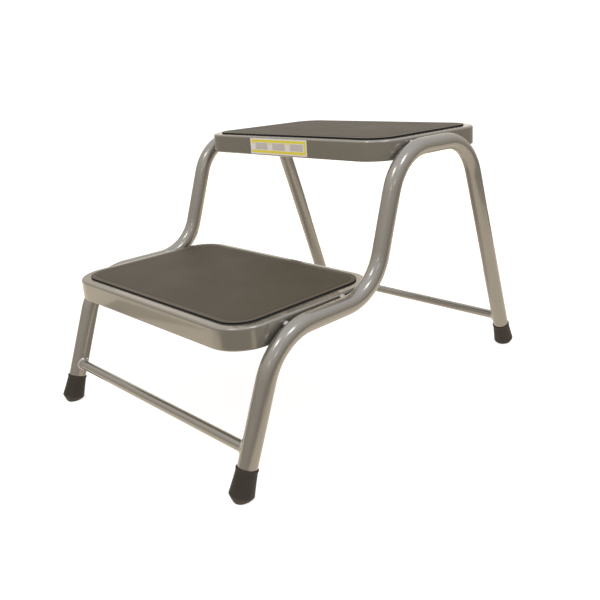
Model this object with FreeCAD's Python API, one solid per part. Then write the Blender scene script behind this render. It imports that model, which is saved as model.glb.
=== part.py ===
import FreeCAD, Part
import math
import os

# Two-tread welded steel step stand, in millimetres.
# Two bent side tubes carry two pressed steel treads with rubber mats, two cross tubes tie the
# legs, and a rubber foot closes each leg.  +X is the right-hand side seen from the front, +Y
# runs from the low tread at the front to the high tread at the rear, and +Z is up.  The origin
# is on the floor under the middle of the stand.

# Side frames
TUBE_RADIUS = 12.7
TUBE_WALL = 1.5
FRAME_X = 215.9
FOOT_SPREAD = 608.4
FRONT_TOE_IN = 4.2
LOWER_RUN_Z = 189.5
UPPER_RUN_Z = 378.5
LOWER_RUN_CORNERS = 180.6
FRONT_LEG_LEAN = math.radians(20.88)
RISER_LEAN = math.radians(19.02)
REAR_LEG_LEAN = math.radians(17.87)
BEND_RADIUS = 79.4
TUBE_END_LIFT = 11.0

# Cross tubes between the legs
CROSS_RADIUS = 7.15
CROSS_WALL = 1.2
CROSS_Z = {"front": 57.0, "rear": 53.8}
JOINT_GAP = 0.05

# Pressed treads
TREAD_HALF_WIDTH = 202.7
TREAD_DEPTH = 263.5
TREAD_CORNER = 50.0
TREAD_SHEET = 1.5
TREAD_SKIRT = 29.8
TREAD_TOP_EDGE = 3.2
TREAD_LIP = 7.0
TREAD_LIP_EDGE = 2.0
TREAD_TOP_ABOVE_RUN = {"lower": 13.0, "upper": 13.9}
LOWER_TREAD_FRONT = -281.2
UPPER_TREAD_FRONT = -6.6

# Rubber mats
MAT_SIDE_INSET = 15.6
MAT_END_INSET = 13.6
MAT_CORNER = 35.0
MAT_BASE = 2.1
MAT_BASE_EDGE = 0.5
MAT_BORDER = 7.0
MAT_FIELD = 0.5
MAT_FIELD_SLOPE = 2.5

# Channel under each tread
CHANNEL_HALF_LENGTH = 190.0
CHANNEL_TOP_WIDTH = 62.0
CHANNEL_WEB_WIDTH = 30.0
CHANNEL_DEPTH = 14.0
CHANNEL_SHEET = 1.5

# Rubber feet
FOOT_LENGTH = 41.0
FOOT_MOUTH_RADIUS = 13.8
FOOT_LIP_RADIUS = 14.3
FOOT_LIP_LENGTH = 2.0
FOOT_RING_RADIUS = 16.1
FOOT_RING_LIFT = 8.0
FOOT_RING_EDGE = 1.0
FOOT_TOE_RADIUS = 6.0
FOOT_TOE_LIFT = -4.0
FOOT_FLOOR = 9.4
WASHER_THICKNESS = 1.5
WASHER_HOLE_RADIUS = 4.0
FOOT_FIT_GAP = 0.05

# Welds
TREAD_WELD_RADIUS = 4.1
TREAD_WELD_LENGTH = 9.5
TREAD_WELD_OUT = 3.3
TREAD_WELD_LIFT = {"lower": 8.6, "upper": 6.9}
LOWER_WELDS_Y = (-205.5, -102.3)
UPPER_WELDS_Y = (56.6, 136.9)
CROSS_WELD_LEG = 3.2

# Blank label on the high tread's front skirt
LABEL_WIDTH = 130.0
LABEL_HEIGHT = 25.0
LABEL_THICKNESS = 0.25
LABEL_CENTRE_X = -8.0
LABEL_LIFT = 2.15

SIDES = {"left": -1, "right": 1}
ALONG_X = FreeCAD.Vector(1, 0, 0)
ALONG_Y = FreeCAD.Vector(0, 1, 0)


def frame_corners(side):
    """Corners of a side tube's centreline, from the front foot to the rear foot."""
    front_foot = -FOOT_SPREAD / 2
    rear_foot = FOOT_SPREAD / 2
    lower_front = front_foot + LOWER_RUN_Z * math.tan(FRONT_LEG_LEAN)
    lower_rear = lower_front + LOWER_RUN_CORNERS
    upper_front = lower_rear + (UPPER_RUN_Z - LOWER_RUN_Z) * math.tan(RISER_LEAN)
    upper_rear = rear_foot - UPPER_RUN_Z * math.tan(REAR_LEG_LEAN)
    plane = side * FRAME_X
    return [
        FreeCAD.Vector(side * (FRAME_X - FRONT_TOE_IN), front_foot, 0),
        FreeCAD.Vector(plane, lower_front, LOWER_RUN_Z),
        FreeCAD.Vector(plane, lower_rear, LOWER_RUN_Z),
        FreeCAD.Vector(plane, upper_front, UPPER_RUN_Z),
        FreeCAD.Vector(plane, upper_rear, UPPER_RUN_Z),
        FreeCAD.Vector(plane, rear_foot, 0),
    ]


def leg_axis(side, end):
    """Floor point and upward direction of the leg at one side, front or rear."""
    corners = frame_corners(side)
    base, knee = corners[:2] if end == "front" else (corners[-1], corners[-2])
    return base, (knee - base).normalize()


def leg_point(side, end, height):
    """Point on a leg's axis at a height above the floor."""
    base, direction = leg_axis(side, end)
    return base + direction * (height / direction.z)


def rounded_path(points, radius):
    """Wire through points with a tangent arc of one radius at each inner corner."""
    edges = []
    start = points[0]
    for before, corner, after in zip(points, points[1:], points[2:]):
        back = (before - corner).normalize()
        ahead = (after - corner).normalize()
        half_angle = back.getAngle(ahead) / 2
        reach = radius / math.tan(half_angle)
        arc_in = corner + back * reach
        arc_out = corner + ahead * reach
        bisector = (back + ahead).normalize()
        crown = corner + bisector * (radius / math.sin(half_angle) - radius)
        edges.append(Part.LineSegment(start, arc_in).toShape())
        edges.append(Part.Arc(arc_in, crown, arc_out).toShape())
        start = arc_out
    edges.append(Part.LineSegment(start, points[-1]).toShape())
    return Part.Wire(edges)


def swept_round(wire, radius):
    """Solid round bar of one radius along a wire that starts straight."""
    first = wire.Edges[0]
    start = first.valueAt(first.FirstParameter)
    heading = first.tangentAt(first.FirstParameter)
    profile = Part.Wire(Part.makeCircle(radius, start, heading))
    return wire.makePipeShell([profile], True, False)


def side_tube(side):
    """Bent round tube: front leg, lower run, riser, upper run and rear leg in one piece."""
    points = frame_corners(side)
    for index, end in ((0, "front"), (-1, "rear")):
        base, direction = leg_axis(side, end)
        points[index] = base + direction * TUBE_END_LIFT
    wire = rounded_path(points, BEND_RADIUS)
    return swept_round(wire, TUBE_RADIUS).cut(swept_round(wire, TUBE_RADIUS - TUBE_WALL))


def leg_cylinder(side, end, radius):
    """Solid cylinder on a leg's axis, past the height of the cross tube."""
    base, direction = leg_axis(side, end)
    return Part.makeCylinder(radius, 2 * CROSS_Z[end], base, direction)


def cross_tube(end):
    """Thin tube between two legs, its ends coped to sit on the leg tubes."""
    start = leg_point(-1, end, CROSS_Z[end])
    length = 2 * abs(start.x)
    tube = Part.makeCylinder(CROSS_RADIUS, length, start, ALONG_X)
    tube = tube.cut(Part.makeCylinder(CROSS_RADIUS - CROSS_WALL, length, start, ALONG_X))
    for side in SIDES.values():
        tube = tube.cut(leg_cylinder(side, end, TUBE_RADIUS + JOINT_GAP))
    return middle_solid(tube)


def middle_solid(shape):
    """The solid whose centre is nearest to the plane between the side frames."""
    return min(shape.Solids, key=lambda solid: abs(solid.CenterOfMass.x))


def cross_weld(side, end):
    """Fillet weld round the coped end of a cross tube."""
    outward = ALONG_X * side
    centre = leg_point(side, end, CROSS_Z[end])
    start = centre - outward * (TUBE_RADIUS + CROSS_WELD_LEG)
    length = 2 * CROSS_WELD_LEG
    inner_radius = CROSS_RADIUS + JOINT_GAP
    collar = Part.makeCone(inner_radius, inner_radius + length, length, start, outward)
    bar = Part.makeCylinder(inner_radius, length, start, outward)
    return middle_solid(collar.cut(bar).cut(leg_cylinder(side, end, TUBE_RADIUS + JOINT_GAP)))


def rounded_plate(half_width, front, rear, corner, bottom, top):
    """Flat plate with rounded plan corners."""
    width = 2 * half_width
    box = Part.makeBox(
        width, rear - front, top - bottom, FreeCAD.Vector(-half_width, front, bottom)
    )
    uprights = [edge for edge in box.Edges if abs(edge.tangentAt(edge.FirstParameter).z) > 0.5]
    return box.makeFillet(corner, uprights)


def level_edges(shape, height):
    """Edges of a shape that lie flat at one height."""
    tolerance = 1e-4
    return [
        edge
        for edge in shape.Edges
        if abs(edge.BoundBox.ZMin - height) < tolerance
        and abs(edge.BoundBox.ZMax - height) < tolerance
    ]


def tread_tray(front, top):
    """Pressed pan: flat top, rounded skirt all round, and an inward lip along its bottom."""
    rear = front + TREAD_DEPTH
    bottom = top - TREAD_SKIRT
    sheet = TREAD_SHEET
    outside = rounded_plate(TREAD_HALF_WIDTH, front, rear, TREAD_CORNER, bottom, top)
    outside = outside.makeFillet(TREAD_TOP_EDGE, level_edges(outside, top))
    outside = outside.makeFillet(TREAD_LIP_EDGE, level_edges(outside, bottom))
    hollow_top = top - sheet
    hollow_bottom = bottom + sheet
    hollow = rounded_plate(
        TREAD_HALF_WIDTH - sheet,
        front + sheet,
        rear - sheet,
        TREAD_CORNER - sheet,
        hollow_bottom,
        hollow_top,
    )
    hollow = hollow.makeFillet(TREAD_TOP_EDGE - sheet, level_edges(hollow, hollow_top))
    hollow = hollow.makeFillet(TREAD_LIP_EDGE - sheet, level_edges(hollow, hollow_bottom))
    mouth = rounded_plate(
        TREAD_HALF_WIDTH - TREAD_LIP,
        front + TREAD_LIP,
        rear - TREAD_LIP,
        TREAD_CORNER - TREAD_LIP,
        bottom - sheet,
        hollow_bottom + sheet,
    )
    return outside.cut(hollow).cut(mouth)


def tread_mat(front, top):
    """Rubber mat on a tread: a thin base with a raised field inside a low border."""
    half_width = TREAD_HALF_WIDTH - MAT_SIDE_INSET
    mat_front = front + MAT_END_INSET
    mat_rear = front + TREAD_DEPTH - MAT_END_INSET
    base_top = top + MAT_BASE
    base = rounded_plate(half_width, mat_front, mat_rear, MAT_CORNER, top, base_top)
    base = base.makeFillet(MAT_BASE_EDGE, level_edges(base, base_top))
    field_top = base_top + MAT_FIELD
    field = rounded_plate(
        half_width - MAT_BORDER,
        mat_front + MAT_BORDER,
        mat_rear - MAT_BORDER,
        MAT_CORNER - MAT_BORDER,
        top + MAT_BASE / 2,
        field_top,
    )
    slope = level_edges(field, field_top)
    field = field.makeChamfer(MAT_FIELD, MAT_FIELD_SLOPE, slope)
    return base.fuse(field).removeSplitter()


def tread_channel(front, top):
    """Folded hat channel under a tread, its flanges flat against the tread's underside."""
    centre_y = front + TREAD_DEPTH / 2
    ceiling = top - TREAD_SHEET
    flange = CHANNEL_TOP_WIDTH / 2
    web = CHANNEL_WEB_WIDTH / 2
    sheet = CHANNEL_SHEET
    half_section = [
        (flange, 0),
        (flange, -sheet),
        (web + sheet, -sheet),
        (web, -CHANNEL_DEPTH),
    ]
    inner_half = [
        (web - sheet, -CHANNEL_DEPTH + sheet),
        (web, 0),
    ]
    outline = half_section + [(-y, z) for y, z in reversed(half_section)]
    outline += [(-y, z) for y, z in reversed(inner_half)] + inner_half
    points = [FreeCAD.Vector(-CHANNEL_HALF_LENGTH, centre_y + y, ceiling + z) for y, z in outline]
    face = Part.Face(Part.makePolygon(points + points[:1]))
    return face.extrude(ALONG_X * 2 * CHANNEL_HALF_LENGTH)


def foot_profile():
    """Half section of a foot about its leg: (radius, distance up the leg) from mouth to toe."""
    bore = TUBE_RADIUS + FOOT_FIT_GAP
    return [
        (0, FOOT_FLOOR),
        (bore, FOOT_FLOOR),
        (bore, FOOT_LENGTH),
        (FOOT_LIP_RADIUS, FOOT_LENGTH),
        (FOOT_LIP_RADIUS, FOOT_LENGTH - FOOT_LIP_LENGTH),
        (FOOT_MOUTH_RADIUS, FOOT_LENGTH - 2 * FOOT_LIP_LENGTH),
        (FOOT_RING_RADIUS, FOOT_RING_LIFT + FOOT_RING_EDGE),
        (FOOT_RING_RADIUS, FOOT_RING_LIFT),
        (FOOT_TOE_RADIUS, FOOT_TOE_LIFT),
        (0, FOOT_TOE_LIFT),
    ]


def turned_on_leg(profile, side, end):
    """Solid of revolution about a leg's axis, from (radius, distance up the leg) points."""
    base, direction = leg_axis(side, end)
    outward = ALONG_Y.cross(direction).normalize()
    points = [base + outward * radius + direction * lift for radius, lift in profile]
    face = Part.Face(Part.makePolygon(points + points[:1]))
    return face.revolve(base, direction, 360)


def rubber_foot(side, end):
    """Rubber ferrule round the leg's end, its sole cut flat to the floor."""
    foot = turned_on_leg(foot_profile(), side, end)
    base, _direction = leg_axis(side, end)
    reach = 2 * FOOT_RING_RADIUS
    below_floor = Part.makeBox(
        2 * reach, 2 * reach, reach, base - FreeCAD.Vector(reach, reach, reach)
    )
    return foot.cut(below_floor)


def foot_washer(side, end):
    """Steel washer in the bottom of a foot, which the tube's end stands on."""
    outer = TUBE_RADIUS - JOINT_GAP
    profile = [
        (WASHER_HOLE_RADIUS, FOOT_FLOOR),
        (outer, FOOT_FLOOR),
        (outer, FOOT_FLOOR + WASHER_THICKNESS),
        (WASHER_HOLE_RADIUS, FOOT_FLOOR + WASHER_THICKNESS),
    ]
    return turned_on_leg(profile, side, end)


def run_height(y, side):
    """Height of the side tube's centreline at a Y on one of its level runs or their bends."""
    wire = rounded_path(frame_corners(side), BEND_RADIUS)
    low = FreeCAD.Vector(side * FRAME_X, y, LOWER_RUN_Z / 2)
    high = FreeCAD.Vector(side * FRAME_X, y, 2 * UPPER_RUN_Z)
    upright = Part.LineSegment(low, high).toShape()
    return wire.distToShape(upright)[1][0][0].z


def tread_welds(side, tray, tube, places, lift):
    """Short beads in the groove between a tread's skirt and the side tube."""
    beads = []
    for y in places:
        centre = FreeCAD.Vector(
            side * (TREAD_HALF_WIDTH + TREAD_WELD_OUT),
            y,
            run_height(y, side) + lift,
        )
        half_run = ALONG_Y * (TREAD_WELD_LENGTH / 2 - TREAD_WELD_RADIUS)
        bead = Part.makeCylinder(
            TREAD_WELD_RADIUS, 2 * half_run.Length, centre - half_run, ALONG_Y
        )
        for end in (centre - half_run, centre + half_run):
            bead = bead.fuse(Part.makeSphere(TREAD_WELD_RADIUS, end))
        beads.append(largest_solid(bead.removeSplitter().cut(tray).cut(tube)))
    return Part.makeCompound(beads)


def largest_solid(shape):
    """The largest solid of a shape."""
    return max(shape.Solids, key=lambda solid: solid.Volume)


def blank_label(front, top):
    """Thin blank label stuck on the high tread's front skirt."""
    corner = FreeCAD.Vector(
        LABEL_CENTRE_X - LABEL_WIDTH / 2, front - LABEL_THICKNESS, top - TREAD_SKIRT + LABEL_LIFT
    )
    return Part.makeBox(LABEL_WIDTH, LABEL_THICKNESS, LABEL_HEIGHT, corner)


def build_nodes():
    """Every sub-part of the stand by node name."""
    treads = {
        "lower": (LOWER_TREAD_FRONT, LOWER_RUN_Z, LOWER_WELDS_Y),
        "upper": (UPPER_TREAD_FRONT, UPPER_RUN_Z, UPPER_WELDS_Y),
    }
    nodes = {}
    for side_name, side in SIDES.items():
        nodes[f"{side_name}_side_tube"] = side_tube(side)
        for end in ("front", "rear"):
            nodes[f"{end}_{side_name}_foot"] = rubber_foot(side, end)
            nodes[f"{end}_{side_name}_foot_washer"] = foot_washer(side, end)
            nodes[f"{end}_{side_name}_cross_weld"] = cross_weld(side, end)
    for end in ("front", "rear"):
        nodes[f"{end}_cross_tube"] = cross_tube(end)
    for level, (front, run, weld_places) in treads.items():
        top = run + TREAD_TOP_ABOVE_RUN[level]
        tray = tread_tray(front, top)
        nodes[f"{level}_tread_tray"] = tray
        nodes[f"{level}_tread_mat"] = tread_mat(front, top)
        nodes[f"{level}_tread_channel"] = tread_channel(front, top)
        for side_name, side in SIDES.items():
            tube = nodes[f"{side_name}_side_tube"]
            nodes[f"{level}_{side_name}_tread_welds"] = tread_welds(
                side, tray, tube, weld_places, TREAD_WELD_LIFT[level]
            )
    upper_top = UPPER_RUN_Z + TREAD_TOP_ABOVE_RUN["upper"]
    nodes["blank_label"] = blank_label(UPPER_TREAD_FRONT, upper_top)
    return nodes


def main():
    """Write each sub-part to its own STEP file."""
    os.makedirs("parts", exist_ok=True)
    for name, shape in build_nodes().items():
        shape.exportStep(f"parts/{name}.step")
        print(f"{name}: valid {shape.isValid()}, solids {len(shape.Solids)}")


main()
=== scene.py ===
"""Looks of the two-tread step stand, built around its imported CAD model.  Lengths are in metres."""
import math
import random

import bmesh
import bpy
from mathutils import Matrix, Vector

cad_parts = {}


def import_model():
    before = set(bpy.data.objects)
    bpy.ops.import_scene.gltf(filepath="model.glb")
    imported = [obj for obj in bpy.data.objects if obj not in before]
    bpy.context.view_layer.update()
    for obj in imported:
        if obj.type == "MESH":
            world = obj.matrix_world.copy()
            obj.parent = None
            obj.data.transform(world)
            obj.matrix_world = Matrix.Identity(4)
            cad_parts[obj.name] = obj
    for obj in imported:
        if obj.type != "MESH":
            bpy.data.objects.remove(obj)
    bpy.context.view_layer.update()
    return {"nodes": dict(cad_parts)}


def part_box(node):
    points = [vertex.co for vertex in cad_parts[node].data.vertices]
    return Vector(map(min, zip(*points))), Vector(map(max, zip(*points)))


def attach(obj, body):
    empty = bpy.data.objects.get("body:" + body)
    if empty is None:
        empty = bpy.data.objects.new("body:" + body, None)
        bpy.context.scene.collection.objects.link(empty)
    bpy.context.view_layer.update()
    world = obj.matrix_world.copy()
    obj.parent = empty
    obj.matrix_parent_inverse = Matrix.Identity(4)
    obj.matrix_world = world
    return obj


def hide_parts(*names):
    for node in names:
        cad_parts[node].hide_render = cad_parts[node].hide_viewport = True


BODY = "root"
MM = 0.001

# Side frames and cross tubes, as in the CAD
TUBE_RADIUS = 12.7 * MM
FRAME_X = 215.9 * MM
FOOT_SPREAD = 608.4 * MM
FRONT_TOE_IN = 4.2 * MM
LOWER_RUN_Z = 189.5 * MM
FRONT_LEG_LEAN = math.radians(20.88)
REAR_LEG_LEAN = math.radians(17.87)
CROSS_RADIUS = 7.15 * MM
CROSS_Z = {"front": 57.0 * MM, "rear": 53.8 * MM}

# Rubber feet: (radius, distance up the leg) from the seat inside, over the lip, to the toe
FOOT_PROFILE_MM = (
    (0.0, 9.4),
    (12.75, 9.4),
    (12.75, 39.6),
    (12.9, 40.5),
    (13.3, 41.0),
    (13.8, 41.0),
    (14.2, 40.6),
    (14.3, 40.0),
    (14.2, 39.0),
    (13.9, 38.0),
    (13.75, 37.0),
    (13.8, 35.0),
    (14.35, 27.0),
    (15.1, 18.0),
    (15.8, 10.8),
    (16.05, 9.0),
    (16.1, 8.3),
    (16.0, 7.6),
    (15.7, 7.0),
    (13.9, 4.6),
    (11.4, 1.6),
    (9.0, -1.0),
    (6.0, -4.0),
    (0.0, -4.0),
)
FOOT_TURNS = 72
SOLE_BEVEL = 0.5 * MM
SOLE_BEVEL_RISE = 0.4 * MM
# Moulded rings in the sole, from its edge inwards: (inset, rise)
SOLE_RINGS_MM = ((2.2, 0.0), (0.5, 0.9), (1.3, 0.0), (0.5, -0.9), (1.4, 0.0), (0.5, 0.9))

# Mats: side, border and field, each as (inset from the mat's edge, height above the tread)
MAT_CORNER = 35.0 * MM
MAT_SIDE_MM = ((0.4, 0.0), (0.0, 0.2), (0.0, 1.85), (0.06, 1.98), (0.15, 2.05))
MAT_BORDER_MM = ((0.35, 2.1), (3.5, 2.1), (6.8, 2.1), (7.1, 2.15))
MAT_FIELD_MM = ((9.2, 2.55), (9.6, 2.6), (12.0, 2.6), (20.0, 2.6))
MAT_CORNER_STEPS = 20

# Label on the high tread's skirt: film, and plain printed rectangles that stand a little proud
LABEL_MARGIN = 2.2 * MM
LABEL_BAND = 3.9 * MM
LABEL_CORNER = 1.0 * MM
LABEL_CORNER_STEPS = 4
LABEL_PANELS = 3
LABEL_GAP = 1.1 * MM
LABEL_TAB_SHARE = 0.26
LABEL_TAB_HEIGHT = 1.76 * MM
PRINT_THICKNESS = 0.03 * MM
PRINT_CORNER = 0.2 * MM
PRINT_CORNER_STEPS = 2
FILM, YELLOW, GREY = range(3)

# Tread welds: short beads along Y, facing outwards and up
BEAD_RADIUS = 4.1 * MM
BEAD_OUT = 3.3 * MM
BEAD_PITCH = 2.3 * MM
BEAD_RIPPLE = 0.05
BEAD_WOBBLE = 0.03
BEAD_CRESCENT = 0.5 * MM
BEAD_FACING = (0.6, 0.8)
BEAD_LENGTH_SHARE = 0.998
BEAD_STEPS = 44
BEAD_TURNS = 28

# Cross tube welds: a bead round each joint, with a lump where it was started and ended
CROSS_BEAD = 2.3 * MM
CROSS_BEAD_RIPPLE = 0.04
CROSS_BEAD_RIPPLES = 17
CROSS_BEAD_STEPS = 132
CROSS_BEAD_TURNS = 14
LUMP_SIZE = 1.1
LUMP_SHARPNESS = 4
LUMP_ANGLE = {"front": 72.0, "rear": 75.0}

# Largest angle between faces that shades smooth, by material slot
SMOOTH_ANGLE = {"foot_rubber": 40, "mat_rubber": 35, "label_film": 30, "weld_paint": 60}

# A noise texture's values lie mostly between these
NOISE_LOW = 0.3
NOISE_HIGH = 0.7

# Places of a Mix node's factor and colours, which share their names with its other kinds
MIX_INPUTS = (0, 6, 7)
MIX_RESULT = 2

# Camera: the photograph's view, in the CAD's frame
CAMERA_PLACE = (0.79936, -0.72788, 0.49358)
CAMERA_YAW = math.radians(-43.987)
CAMERA_PITCH = math.radians(15.245)
CAMERA_ROLL = math.radians(-3.1245)
CAMERA_LENS = 41.07
CAMERA_SENSOR = 36.0
CAMERA_SHIFT = (-0.0577, -0.0772)

# Studio floor and the soft dome of light over it: (rise of the view direction, brightness)
FLOOR_RADIUS = 9.0
FLOOR_TURNS = 96
FLOOR_GREY = (0.48, 0.5)
FLOOR_GLOW = 0.8
DOME_STOPS = ((0.0, 0.46), (0.26, 0.6), (0.5, 0.76), (0.75, 0.9), (1.0, 1.0))
WHITE_GLOW = 1.1
WARM_TINT = (1.09, 1.0, 0.87)
COOL_TINT = (1.0, 1.0, 1.03)
COOL_SIDE = (0.25, -0.05, 1.0)
COOL_FROM, COOL_TO = 0.1, 0.8

# Glowing cards seen only in reflections, their brightness a painted stand-in for lit and shaded
# surroundings.  Those on the floor are outlines in X and Y: the room, the lit paper, its bright
# sweep behind, the object's own painted shadow, a seam in front and a lamp stand's leg
PAPER_TINT = (1.12, 1.0, 0.81)
ROOM = (
    (-FLOOR_RADIUS, -FLOOR_RADIUS),
    (FLOOR_RADIUS, -FLOOR_RADIUS),
    (FLOOR_RADIUS, FLOOR_RADIUS),
    (-FLOOR_RADIUS, FLOOR_RADIUS),
)
PAPER = (
    (-1.5, -0.75),
    (0.03, -0.755),
    (0.12, -0.6),
    (0.5, -0.42),
    (0.57, -0.2),
    (0.68, 0.1),
    (0.9, 0.45),
    (1.0, 1.2),
    (-1.5, 1.2),
)
SWEEP = ((-1.5, 0.45), (-0.1, 0.45), (-0.1, 2.0), (-1.5, 2.0))
HALF_SHADE = ((-0.35, -0.23), (0.2, -0.22), (0.18, 0.0), (0.1, 0.25), (-0.35, 0.25))
SHADE = ((-0.3, -0.21), (0.08, -0.2), (0.04, 0.05), (-0.3, 0.15))
SEAM = ((-0.26, -0.578), (-0.36, -0.562), (-0.47, -0.535), (-0.6, -0.5), (-0.62, -0.572))
STAND_LEG = ((0.58, -0.36), (0.72, -0.4), (0.74, -0.28), (0.59, -0.27))
# (name, outline, millimetres below the floor, brightness)
FLOOR_CARDS = (
    ("studio_room_floor", ROOM, 4, 0.3),
    ("studio_paper", PAPER, 3, 0.86),
    ("studio_sweep", SWEEP, 2, 3.0),
    ("studio_half_shade", HALF_SHADE, 2, 0.6),
    ("studio_shade", SHADE, 1, 0.36),
    ("studio_seam", SEAM, 2, 0.15),
    ("studio_stand_leg", STAND_LEG, 2, 0.8),
)
BACKDROP_LEFT, BACKDROP_RIGHT = -0.97, 0.95
BACKDROP_AWAY = 2.0
BACKDROP_HEIGHT = 1.1
BACKDROP_GLOW = 0.85

# Lamps: (name, place, size, radiance, colour)
LAMP_TARGET = Vector((0, 0, 0.2))
LAMPS = (
    ("lamp_front", (0.12, -1.12, 1.97), 0.34, 8.0, (1.0, 0.95, 0.84)),
    ("lamp_right", (1.15, -0.1, 1.95), 0.36, 8.0, (0.96, 0.97, 1.0)),
    ("lamp_low_front", (1.3, -2.3, 1.6), 0.25, 4.0, (1.0, 0.9, 0.75)),
    ("lamp_low_right", (2.3, -1.3, 1.6), 0.25, 4.0, (1.0, 0.95, 0.8)),
)

SIDES = {"left": -1, "right": 1}
ENDS = ("front", "rear")
LEVELS = ("lower", "upper")


def srgb(red, green, blue):
    """Linear colour from display values of 0 to 255."""
    def linear(value):
        share = value / 255
        return share / 12.92 if share <= 0.04045 else ((share + 0.055) / 1.055) ** 2.4

    return (linear(red), linear(green), linear(blue), 1.0)


def grey(value):
    """Grey of one linear brightness."""
    return (value, value, value, 1.0)


# ---------------------------------------------------------------- materials


class Nodes:
    """Short calls that add nodes to the node tree of a material or the world."""

    def __init__(self, tree):
        self.tree = tree

    def set(self, socket, value):
        """Links a socket to another node's output, or gives it a fixed value."""
        if isinstance(value, bpy.types.NodeSocket):
            self.tree.links.new(value, socket)
        else:
            socket.default_value = value

    def node(self, kind, **inputs):
        """New node with its inputs set; an underscore in an input's name stands for a space."""
        made = self.tree.nodes.new(kind)
        for name, value in inputs.items():
            self.set(made.inputs[name.replace("_", " ")], value)
        return made

    def span(self, value, to_low, to_high, low=NOISE_LOW, high=NOISE_HIGH):
        """value, running from low to high, remapped to run from to_low to to_high."""
        made = self.node(
            "ShaderNodeMapRange",
            Value=value,
            From_Min=low,
            From_Max=high,
            To_Min=to_low,
            To_Max=to_high,
        )
        return made.outputs["Result"]

    def mix(self, factor, first, second, blend="MIX"):
        """Two colours mixed, or the second multiplied into the first."""
        made = self.tree.nodes.new("ShaderNodeMix")
        made.data_type = "RGBA"
        made.blend_type = blend
        for socket, value in zip(MIX_INPUTS, (factor, first, second)):
            self.set(made.inputs[socket], value)
        return made.outputs[MIX_RESULT]


class Shade(Nodes):
    """A Principled material and short calls that give it colour, roughness and bump."""

    def __init__(self, name, **sockets):
        self.material = bpy.data.materials.new(name)
        self.material.use_nodes = True
        super().__init__(self.material.node_tree)
        self.shader = self.tree.nodes["Principled BSDF"]
        for socket, value in sockets.items():
            self.shader.inputs[socket.replace("_", " ")].default_value = value
        self.place = self.node("ShaderNodeTexCoord").outputs["Object"]

    def noise(self, scale, detail=2.0, roughness=0.5):
        """Noise with a number of waves in each metre."""
        made = self.node(
            "ShaderNodeTexNoise",
            Vector=self.place,
            Scale=scale,
            Detail=detail,
            Roughness=roughness,
        )
        return made.outputs["Fac"]

    def cells(self, scale):
        """Random value for each small cell."""
        made = self.node("ShaderNodeTexVoronoi", Vector=self.place, Scale=scale)
        return made.outputs["Color"]

    def bump(self, height, distance, strength=1.0, under=None):
        """Bump by a height texture, over another bump if there is one."""
        made = self.node("ShaderNodeBump", Height=height, Distance=distance, Strength=strength)
        if under:
            self.set(made.inputs["Normal"], under)
        return made.outputs["Normal"]

    def finished(self, colour, roughness, normal):
        """Links the shader to its textures, and returns the finished material."""
        self.set(self.shader.inputs["Base Color"], colour)
        self.set(self.shader.inputs["Roughness"], roughness)
        self.set(self.shader.inputs["Normal"], normal)
        return self.material


def silver_paint(name, light, dark):
    """Glossy silver-grey metallic enamel: fine flake, faint orange peel, slight patches."""
    shade = Shade(name, Metallic=0.8, Coat_Weight=0.8, Coat_Roughness=0.03, Coat_IOR=1.5)
    patches = shade.noise(scale=7.0, detail=3.0)
    flake = shade.span(shade.cells(scale=2600.0), 0.93, 1.07, low=0.0, high=1.0)
    colour = shade.mix(1.0, shade.mix(patches, dark, light), flake, "MULTIPLY")
    haze = shade.noise(scale=22.0, detail=4.0, roughness=0.6)
    peel = shade.bump(shade.noise(scale=420.0), distance=0.05 * MM, strength=0.04)
    waves = shade.bump(shade.noise(scale=45.0), distance=0.25 * MM, strength=0.08, under=peel)
    return shade.finished(colour, shade.span(haze, 0.2, 0.26), waves)


def mat_rubber(name, dark, light, shine):
    """Rubber with a fine moulded grain and faint scuffs; shine is its lowest roughness."""
    shade = Shade(name, Specular_IOR_Level=0.45)
    dust = shade.noise(scale=14.0, detail=5.0, roughness=0.6)
    grain = shade.noise(scale=1500.0, roughness=0.6)
    colour = shade.mix(1.0, shade.mix(dust, dark, light), shade.span(grain, 0.9, 1.1), "MULTIPLY")
    fine = shade.bump(grain, distance=0.1 * MM, strength=0.4)
    uneven = shade.noise(scale=60.0, detail=3.0)
    dents = shade.bump(uneven, distance=0.3 * MM, strength=0.2, under=fine)
    return shade.finished(colour, shade.span(dust, shine, shine + 0.12), dents)


def foot_rubber(name):
    """Black-brown moulded rubber, dusty and slightly mottled."""
    shade = Shade(name, Specular_IOR_Level=0.4)
    mottle = shade.noise(scale=130.0, detail=4.0, roughness=0.6)
    colour = shade.mix(mottle, srgb(40, 33, 27), srgb(58, 50, 42))
    fine = shade.bump(shade.noise(scale=1400.0), distance=0.08 * MM, strength=0.6)
    dents = shade.bump(mottle, distance=0.2 * MM, strength=0.4, under=fine)
    return shade.finished(colour, shade.span(mottle, 0.5, 0.68), dents)


def zinc_steel(name):
    """Bright zinc-plated steel with a faint cloudy grain."""
    shade = Shade(name, Metallic=1.0)
    cloud = shade.noise(scale=300.0, detail=4.0)
    colour = shade.mix(cloud, srgb(150, 152, 154), srgb(186, 187, 186))
    grain = shade.bump(cloud, distance=0.05 * MM, strength=0.4)
    return shade.finished(colour, shade.span(cloud, 0.28, 0.42), grain)


def label_film(name, first, second):
    """Printed film: an even colour with a little ink variation and a satin face."""
    shade = Shade(name, Specular_IOR_Level=0.5)
    ink = shade.noise(scale=260.0, detail=4.0, roughness=0.65)
    colour = shade.mix(ink, first, second)
    ripples = shade.bump(shade.noise(scale=90.0), distance=0.05 * MM, strength=0.3)
    return shade.finished(colour, shade.span(ink, 0.32, 0.42), ripples)


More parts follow.
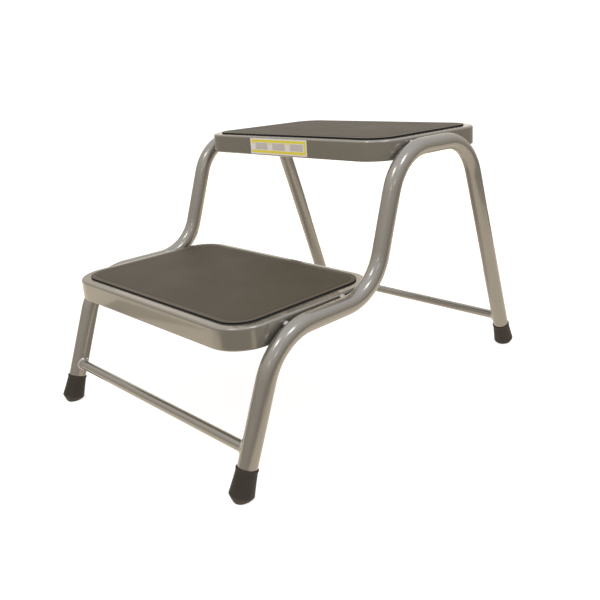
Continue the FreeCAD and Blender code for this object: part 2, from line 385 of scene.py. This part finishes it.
def floor_white(name):
    """Matt pale paper, faintly cloudy and lit from within so that it stays even."""
    shade = Shade(
        name,
        Roughness=0.9,
        Specular_IOR_Level=0.0,
        Emission_Color=grey(1.0),
        Emission_Strength=FLOOR_GLOW,
    )
    darker, lighter = FLOOR_GREY
    colour = shade.mix(shade.noise(scale=0.6), grey(darker), grey(lighter))
    shade.set(shade.shader.inputs["Base Color"], colour)
    return shade.material


# ---------------------------------------------------------------- mesh helpers


def link_object(name, data):
    """New object in the scene."""
    made = bpy.data.objects.new(name, data)
    bpy.context.scene.collection.objects.link(made)
    return made


def finish_mesh(name, mesh_data, materials, slot_name, replaced):
    """A piece from a bmesh, riding on the stand in place of CAD nodes."""
    bmesh.ops.recalc_face_normals(mesh_data, faces=mesh_data.faces)
    mesh = bpy.data.meshes.new(name)
    mesh_data.to_mesh(mesh)
    mesh_data.free()
    for material in materials:
        mesh.materials.append(material)
    mesh.shade_smooth()
    mesh.set_sharp_from_angle(angle=math.radians(SMOOTH_ANGLE[slot_name]))
    made = link_object(name, mesh)
    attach(made, BODY)
    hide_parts(*replaced)
    return made


def bridge_rings(mesh_data, rings, closed_ends=True):
    """Quads between closed rings of vertices, with the first and last ring filled."""
    for lower, upper in zip(rings, rings[1:]):
        count = len(lower)
        for i in range(count):
            j = (i + 1) % count
            mesh_data.faces.new((lower[i], lower[j], upper[j], upper[i]))
    if closed_ends:
        mesh_data.faces.new(rings[0])
        mesh_data.faces.new(rings[-1])


# ---------------------------------------------------------------- feet


def leg_axis(side, end):
    """Floor point and upward direction of a leg."""
    if end == "front":
        base = Vector((side * (FRAME_X - FRONT_TOE_IN), -FOOT_SPREAD / 2, 0))
        rise = LOWER_RUN_Z
        lean = Vector((side * FRONT_TOE_IN, rise * math.tan(FRONT_LEG_LEAN), rise))
        return base, lean.normalized()
    base = Vector((side * FRAME_X, FOOT_SPREAD / 2, 0))
    return base, Vector((0, -math.tan(REAR_LEG_LEAN), 1)).normalized()


def turned(mesh_data, profile, base, direction):
    """Surface of revolution about an axis; the profile starts and ends on the axis."""
    first = direction.orthogonal().normalized()
    second = direction.cross(first)
    rings = []
    for radius, lift in profile[1:-1]:
        centre = base + direction * lift
        ring = []
        for i in range(FOOT_TURNS):
            angle = 2 * math.pi * i / FOOT_TURNS
            offset = first * math.cos(angle) + second * math.sin(angle)
            ring.append(mesh_data.verts.new(centre + offset * radius))
        rings.append(ring)
    bridge_rings(mesh_data, rings, closed_ends=False)
    for (_radius, lift), ring in ((profile[0], rings[0]), (profile[-1], rings[-1])):
        tip = mesh_data.verts.new(base + direction * lift)
        for i in range(FOOT_TURNS):
            mesh_data.faces.new((ring[i], ring[(i + 1) % FOOT_TURNS], tip))


def cut_sole(mesh_data):
    """Trims everything below the floor and gives the flat sole its edge and tread rings."""
    geometry = mesh_data.verts[:] + mesh_data.edges[:] + mesh_data.faces[:]
    cut = bmesh.ops.bisect_plane(
        mesh_data, geom=geometry, plane_co=(0, 0, 0), plane_no=(0, 0, 1), clear_inner=True
    )
    rim = [item for item in cut["geom_cut"] if isinstance(item, bmesh.types.BMEdge)]
    sole = bmesh.ops.contextual_create(mesh_data, geom=rim)["faces"]
    bmesh.ops.inset_region(mesh_data, faces=sole, thickness=SOLE_BEVEL)
    rim_verts = {vert for edge in rim if edge.is_valid for vert in edge.verts}
    for vert in rim_verts:
        vert.co.z += SOLE_BEVEL_RISE
    for inset, rise in SOLE_RINGS_MM:
        bmesh.ops.inset_region(mesh_data, faces=sole, thickness=inset * MM)
        for vert in sole[0].verts:
            vert.co.z += rise * MM


def build_foot(side_name, end, material):
    """Moulded rubber foot pushed on a leg's end, cut level with the floor."""
    mesh_data = bmesh.new()
    base, direction = leg_axis(SIDES[side_name], end)
    profile = [(radius * MM, lift * MM) for radius, lift in FOOT_PROFILE_MM]
    turned(mesh_data, profile, base, direction)
    cut_sole(mesh_data)
    node = f"{end}_{side_name}_foot"
    return finish_mesh(f"{node}_rubber", mesh_data, [material], "foot_rubber", [node])


# ---------------------------------------------------------------- mats


def rounded_loop(half_x, low_y, high_y, corner, steps):
    """Points round a rectangle with rounded corners, in plan."""
    points = []
    centres = (
        (half_x - corner, high_y - corner, 0),
        (-half_x + corner, high_y - corner, 1),
        (-half_x + corner, low_y + corner, 2),
        (half_x - corner, low_y + corner, 3),
    )
    for x, y, quarter in centres:
        for step in range(steps + 1):
            angle = math.pi / 2 * (quarter + step / steps)
            points.append((x + corner * math.cos(angle), y + corner * math.sin(angle)))
    return points


def build_mat(level, materials):
    """Rubber mat: upright side, low smooth border, sloped step and raised field."""
    node = f"{level}_tread_mat"
    low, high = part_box(node)
    mesh_data = bmesh.new()
    rings = []
    for inset_mm, height_mm in MAT_SIDE_MM + MAT_BORDER_MM + MAT_FIELD_MM:
        inset = inset_mm * MM
        outline = rounded_loop(
            high.x - inset,
            low.y + inset,
            high.y - inset,
            MAT_CORNER - inset,
            MAT_CORNER_STEPS,
        )
        z = low.z + height_mm * MM
        rings.append([mesh_data.verts.new((x, y, z)) for x, y in outline])
    bridge_rings(mesh_data, rings)
    border_low = low.z + MAT_SIDE_MM[-1][1] * MM
    field_low = low.z + MAT_BORDER_MM[-1][1] * MM
    # Side faces get the nearly black side rubber, partly the bare rubber's own colour and partly
    # painted shade; border faces get the lighter border rubber, a painted highlight along the mat's
    # edge
    for face in mesh_data.faces:
        middle = face.calc_center_median().z
        face.material_index = (middle > border_low) + (middle > field_low)
    return finish_mesh(f"{node}_rubber", mesh_data, materials, "mat_rubber", [node])


# ---------------------------------------------------------------- label


def add_slab(mesh_data, low, high, material_index, corner, steps):
    """Thin upright slab in X and Z with rounded corners; low and high are its box corners."""
    half = (high.x - low.x) / 2
    centre = (high.x + low.x) / 2
    outline = rounded_loop(half, low.z, high.z, corner, steps)
    back = [mesh_data.verts.new((centre + x, high.y, z)) for x, z in outline]
    front = [mesh_data.verts.new((centre + x, low.y, z)) for x, z in outline]
    before = set(mesh_data.faces)
    bridge_rings(mesh_data, [back, front])
    for face in mesh_data.faces:
        if face not in before:
            face.material_index = material_index


def label_print(left, right, bottom, top):
    """Printed rectangles as (x0, x1, z0, z1, ink): a band on three sides, panels and tabs."""
    inner_right = right - LABEL_BAND
    inner_bottom = bottom + LABEL_BAND
    inner_top = top - LABEL_BAND
    rectangles = [
        (left, right, inner_top, top, YELLOW),
        (left, right, bottom, inner_bottom, YELLOW),
        (inner_right, right, inner_bottom, inner_top, YELLOW),
    ]
    pitch = (inner_right - LABEL_GAP - left) / LABEL_PANELS
    tab = LABEL_TAB_SHARE * pitch
    panel_bottom = inner_bottom + LABEL_GAP
    panel_top = inner_top - LABEL_GAP
    tab_bottom = panel_top - LABEL_TAB_HEIGHT
    for i in range(LABEL_PANELS):
        start = left + i * pitch
        split = start + tab
        panel_right = start + pitch - LABEL_GAP
        rectangles.append((split, panel_right, panel_bottom, panel_top, GREY))
        rectangles.append((start + LABEL_GAP, split - LABEL_GAP, tab_bottom, panel_top, YELLOW))
    return rectangles


def build_label(inks):
    """Blank label: pale film with a plain yellow band, plain grey panels and yellow tabs."""
    node = "blank_label"
    low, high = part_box(node)
    mesh_data = bmesh.new()
    add_slab(mesh_data, low, high, FILM, LABEL_CORNER, LABEL_CORNER_STEPS)
    margin = LABEL_MARGIN
    printed = label_print(low.x + margin, high.x - margin, low.z + margin, high.z - margin)
    for x0, x1, z0, z1, ink in printed:
        corner = Vector((x0, low.y - PRINT_THICKNESS, z0))
        opposite = Vector((x1, low.y, z1))
        add_slab(mesh_data, corner, opposite, ink, PRINT_CORNER, PRINT_CORNER_STEPS)
    return finish_mesh("blank_label_film", mesh_data, inks, "label_film", [node])


# ---------------------------------------------------------------- welds


def bead_boxes(node):
    """Boxes of a two-bead weld node's beads, front one first."""
    low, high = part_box(node)
    middle = (low.y + high.y) / 2
    points = [vertex.co.copy() for vertex in bpy.data.objects[node].data.vertices]
    boxes = []
    for half in ([p for p in points if p.y < middle], [p for p in points if p.y >= middle]):
        corner = [min(p[axis] for p in half) for axis in range(3)]
        opposite = [max(p[axis] for p in half) for axis in range(3)]
        boxes.append((Vector(corner), Vector(opposite)))
    return boxes


def add_bead(mesh_data, centre, length, outward, seed):
    """Short rippled weld bead along Y, its ripples curved like stacked crescents."""
    draw = random.Random(seed)
    rings = []
    for i in range(BEAD_STEPS + 1):
        along = (i / BEAD_STEPS - 0.5) * length * BEAD_LENGTH_SHARE
        past = max(0.0, abs(along) - (length / 2 - BEAD_RADIUS)) / BEAD_RADIUS
        round_end = math.sqrt(max(0.0, 1 - past * past))
        ripple = 1 + BEAD_RIPPLE * math.cos(2 * math.pi * along / BEAD_PITCH)
        wobble = 1 + BEAD_WOBBLE * (draw.random() - 0.5)
        size = BEAD_RADIUS * round_end * ripple * wobble
        ring = []
        for j in range(BEAD_TURNS):
            angle = 2 * math.pi * j / BEAD_TURNS
            across = Vector((math.cos(angle), 0, math.sin(angle)))
            crescent = BEAD_CRESCENT * across.dot(outward) * round_end
            point = centre + across * size + Vector((0, along - crescent, 0))
            ring.append(mesh_data.verts.new(point))
        rings.append(ring)
    bridge_rings(mesh_data, rings)


def build_tread_welds(level, side_name, material):
    """The two beads between one side of a tread and the side tube."""
    node = f"{level}_{side_name}_tread_welds"
    side = SIDES[side_name]
    facing_out, facing_up = BEAD_FACING
    outward = Vector((side * facing_out, 0, facing_up)).normalized()
    mesh_data = bmesh.new()
    for index, (low, high) in enumerate(bead_boxes(node)):
        skirt = min(side * low.x, side * high.x)
        centre = Vector((side * (skirt + BEAD_OUT), (low.y + high.y) / 2, high.z - BEAD_RADIUS))
        add_bead(mesh_data, centre, high.y - low.y, outward, f"{node}{index}")
    return finish_mesh(f"{node}_beads", mesh_data, [material], "weld_paint", [node])


def reach_to_leg(offset, inward, direction):
    """Distance along inward, from an offset off a leg's axis, to where it leaves the leg."""
    flat = offset - direction * offset.dot(direction)
    pull = inward - direction * inward.dot(direction)
    a = pull.dot(pull)
    b = 2 * flat.dot(pull)
    c = flat.dot(flat) - TUBE_RADIUS ** 2
    return (-b + math.sqrt(b * b - 4 * a * c)) / (2 * a)


def build_cross_weld(side_name, end, material):
    """Rippled bead round the joint of a cross tube and a leg, heaviest on top."""
    node = f"{end}_{side_name}_cross_weld"
    side = SIDES[side_name]
    base, direction = leg_axis(side, end)
    centre = base + direction * (CROSS_Z[end] / direction.z)
    inward = Vector((-side, 0, 0))
    mesh_data = bmesh.new()
    draw = random.Random(node)
    lump_angle = math.radians(LUMP_ANGLE[end])
    rings = []
    for i in range(CROSS_BEAD_STEPS):
        angle = 2 * math.pi * i / CROSS_BEAD_STEPS
        radial = Vector((0, math.cos(angle), math.sin(angle)))
        across = radial * CROSS_RADIUS
        joint = centre + across + inward * reach_to_leg(across, inward, direction)
        heavy = 1 + LUMP_SIZE * max(0.0, math.cos(angle - lump_angle)) ** LUMP_SHARPNESS
        uneven = math.cos(CROSS_BEAD_RIPPLES * angle) + draw.random() - 0.5
        size = CROSS_BEAD * heavy * (1 + CROSS_BEAD_RIPPLE * uneven)
        ring = []
        for j in range(CROSS_BEAD_TURNS):
            turn = 2 * math.pi * j / CROSS_BEAD_TURNS
            offset = inward * math.cos(turn) + radial * math.sin(turn)
            ring.append(mesh_data.verts.new(joint + offset * size))
        rings.append(ring)
    bridge_rings(mesh_data, rings + rings[:1], closed_ends=False)
    return finish_mesh(f"{node}_bead", mesh_data, [material], "weld_paint", [node])


# ---------------------------------------------------------------- studio


def build_floor():
    """Plain pale floor, far wider than the view."""
    mesh_data = bmesh.new()
    bmesh.ops.create_circle(
        mesh_data, cap_ends=True, segments=FLOOR_TURNS, radius=FLOOR_RADIUS
    )
    mesh = bpy.data.meshes.new("studio_floor")
    mesh_data.to_mesh(mesh)
    mesh_data.free()
    floor = link_object("studio_floor", mesh)
    mesh.materials.append(floor_white("studio_floor_white"))
    floor.visible_glossy = False


def glow_card(name, corners, colour, strength):
    """Evenly glowing card that only reflections see: paper, backdrop, the darker room or painted
    shadow.
    """
    mesh = bpy.data.meshes.new(name)
    mesh.from_pydata(corners, [], [tuple(range(len(corners)))])
    material = bpy.data.materials.new(name)
    material.use_nodes = True
    tree = material.node_tree
    tree.nodes.clear()
    glow = tree.nodes.new("ShaderNodeEmission")
    glow.inputs["Color"].default_value = (*colour, 1.0)
    glow.inputs["Strength"].default_value = strength
    output = tree.nodes.new("ShaderNodeOutputMaterial")
    tree.links.new(glow.outputs["Emission"], output.inputs["Surface"])
    mesh.materials.append(material)
    card = link_object(name, mesh)
    card.visible_camera = False
    card.visible_diffuse = False
    card.visible_shadow = False
    card.visible_transmission = False


def backdrop_corners():
    """Corners of the upright backdrop, which stands square to the camera behind the object."""
    right = Vector((math.cos(CAMERA_YAW), -math.sin(CAMERA_YAW), 0))
    ahead = Vector((math.sin(CAMERA_YAW), math.cos(CAMERA_YAW), 0))
    corners = (
        (BACKDROP_LEFT, 0),
        (BACKDROP_RIGHT, 0),
        (BACKDROP_RIGHT, BACKDROP_HEIGHT),
        (BACKDROP_LEFT, BACKDROP_HEIGHT),
    )
    return [right * x + ahead * BACKDROP_AWAY + Vector((0, 0, z)) for x, z in corners]


def build_cards():
    """What the object mirrors of its surroundings: lit paper, its own painted shadow, a dim room."""
    for name, outline, depth_mm, glow in FLOOR_CARDS:
        glow_card(name, [Vector((x, y, -depth_mm * MM)) for x, y in outline], PAPER_TINT, glow)
    glow_card("studio_backdrop", backdrop_corners(), WARM_TINT, BACKDROP_GLOW)


def soft_lamp(name, place, size, radiance, colour):
    """Square soft lamp aimed at the stand."""
    lamp = bpy.data.lights.new(name, "AREA")
    lamp.shape = "SQUARE"
    lamp.size = size
    lamp.energy = radiance * math.pi * size * size
    lamp.color = colour
    made = link_object(name, lamp)
    made.location = place
    made.rotation_euler = (LAMP_TARGET - Vector(place)).to_track_quat("-Z", "Y").to_euler()
    made.visible_camera = False


def dome_brightness(nodes, direction):
    """Colour ramp of the dome: dim at the horizon, white overhead."""
    split = nodes.node("ShaderNodeSeparateXYZ", Vector=direction)
    climb = nodes.node("ShaderNodeValToRGB", Fac=split.outputs["Z"])
    elements = climb.color_ramp.elements
    while len(elements) < len(DOME_STOPS):
        elements.new(1.0)
    for element, (rise, level) in zip(elements, DOME_STOPS):
        element.position = rise
        element.color = grey(level)
    return climb.outputs["Color"]


def dome_tint(nodes, direction):
    """Tint of the dome: warm, and cool on one side and overhead."""
    cool_side = nodes.tree.nodes.new("ShaderNodeVectorMath")
    cool_side.operation = "DOT_PRODUCT"
    for socket, value in zip(cool_side.inputs, (direction, COOL_SIDE)):
        nodes.set(socket, value)
    side = nodes.span(cool_side.outputs["Value"], 0.0, 1.0, low=COOL_FROM, high=COOL_TO)
    return nodes.mix(side, (*WARM_TINT, 1.0), (*COOL_TINT, 1.0))


def build_world():
    """White behind the object; the light comes from a soft dome, dim at the horizon."""
    world = bpy.data.worlds.new("studio_world")
    bpy.context.scene.world = world
    world.use_nodes = True
    nodes = Nodes(world.node_tree)
    nodes.tree.nodes.clear()
    direction = nodes.node("ShaderNodeTexCoord").outputs["Generated"]
    brightness = dome_brightness(nodes, direction)
    dome = nodes.mix(1.0, brightness, dome_tint(nodes, direction), "MULTIPLY")
    room = nodes.node("ShaderNodeBackground", Color=dome)
    white = nodes.node("ShaderNodeBackground", Color=grey(1.0), Strength=WHITE_GLOW)
    camera_ray = nodes.node("ShaderNodeLightPath").outputs["Is Camera Ray"]
    blend = nodes.node("ShaderNodeMixShader", Fac=camera_ray)
    nodes.set(blend.inputs[1], room.outputs["Background"])
    nodes.set(blend.inputs[2], white.outputs["Background"])
    nodes.node("ShaderNodeOutputWorld", Surface=blend.outputs["Shader"])


def build_camera():
    """Camera at the photograph's viewing angle."""
    forward = Vector(
        (
            math.sin(CAMERA_YAW) * math.cos(CAMERA_PITCH),
            math.cos(CAMERA_YAW) * math.cos(CAMERA_PITCH),
            -math.sin(CAMERA_PITCH),
        )
    )
    level = forward.cross(Vector((0, 0, 1))).normalized()
    upright = level.cross(forward)
    right = level * math.cos(CAMERA_ROLL) + upright * math.sin(CAMERA_ROLL)
    up = upright * math.cos(CAMERA_ROLL) - level * math.sin(CAMERA_ROLL)
    data = bpy.data.cameras.new("camera")
    data.lens = CAMERA_LENS
    data.sensor_width = CAMERA_SENSOR
    data.shift_x, data.shift_y = CAMERA_SHIFT
    camera = link_object("camera", data)
    axes = Matrix((right, up, -forward)).transposed().to_4x4()
    camera.matrix_world = Matrix.Translation(CAMERA_PLACE) @ axes
    bpy.context.scene.camera = camera


def paint_nodes(nodes):
    """Gives each CAD node that stays its material, in every slot."""
    tube_paint = silver_paint("silver_tube_paint", srgb(159, 155, 148), srgb(152, 148, 141))
    tread_paint = silver_paint("silver_tread_paint", srgb(158, 154, 146), srgb(151, 147, 139))
    finishes = {
        ("tube",): tube_paint,
        ("tray", "channel"): tread_paint,
        ("washer",): zinc_steel("zinc_steel"),
    }
    for endings, material in finishes.items():
        for name, node in nodes.items():
            if name.endswith(endings):
                node.data.materials.clear()
                node.data.materials.append(material)


def build_pieces():
    """Feet, welds, mats and label."""
    rubber = foot_rubber("foot_rubber")
    mat = [
        # The side rubber's near black is partly the bare rubber and partly painted shade; the border
        # rubber is lighter than the field as a painted highlight
        mat_rubber("mat_side_rubber_with_painted_shade", srgb(8, 7, 6), srgb(12, 11, 10), shine=0.75),
        mat_rubber("mat_border_rubber_with_painted_highlight", srgb(75, 67, 54), srgb(87, 78, 64), shine=0.4),
        mat_rubber("mat_field_rubber", srgb(66, 58, 44), srgb(79, 70, 54), shine=0.5),
    ]
    # The welds' paint is lighter than the tubes' as a painted highlight on the beads
    weld_paint = silver_paint("silver_weld_paint", srgb(196, 193, 190), srgb(184, 181, 177))
    for side_name in SIDES:
        for end in ENDS:
            build_foot(side_name, end, rubber)
            build_cross_weld(side_name, end, weld_paint)
        for level in LEVELS:
            build_tread_welds(level, side_name, weld_paint)
    for level in LEVELS:
        build_mat(level, mat)
    inks = [
        label_film("label_white_film", srgb(222, 214, 208), srgb(232, 226, 222)),
        label_film("label_yellow_ink", srgb(220, 206, 34), srgb(232, 218, 54)),
        label_film("label_grey_ink", srgb(186, 176, 166), srgb(206, 198, 190)),
    ]
    build_label(inks)


def boxes(bounds):
    """A pair of corners as plain lists."""
    return [[float(value) for value in corner] for corner in bounds]


def main():
    """The stand's looks and the studio."""
    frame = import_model()

    paint_nodes(frame["nodes"])
    build_pieces()

    build_floor()
    build_world()
    build_camera()
    build_cards()
    for lamp in LAMPS:
        soft_lamp(*lamp)
    bpy.context.scene.view_settings.view_transform = "Standard"


main()
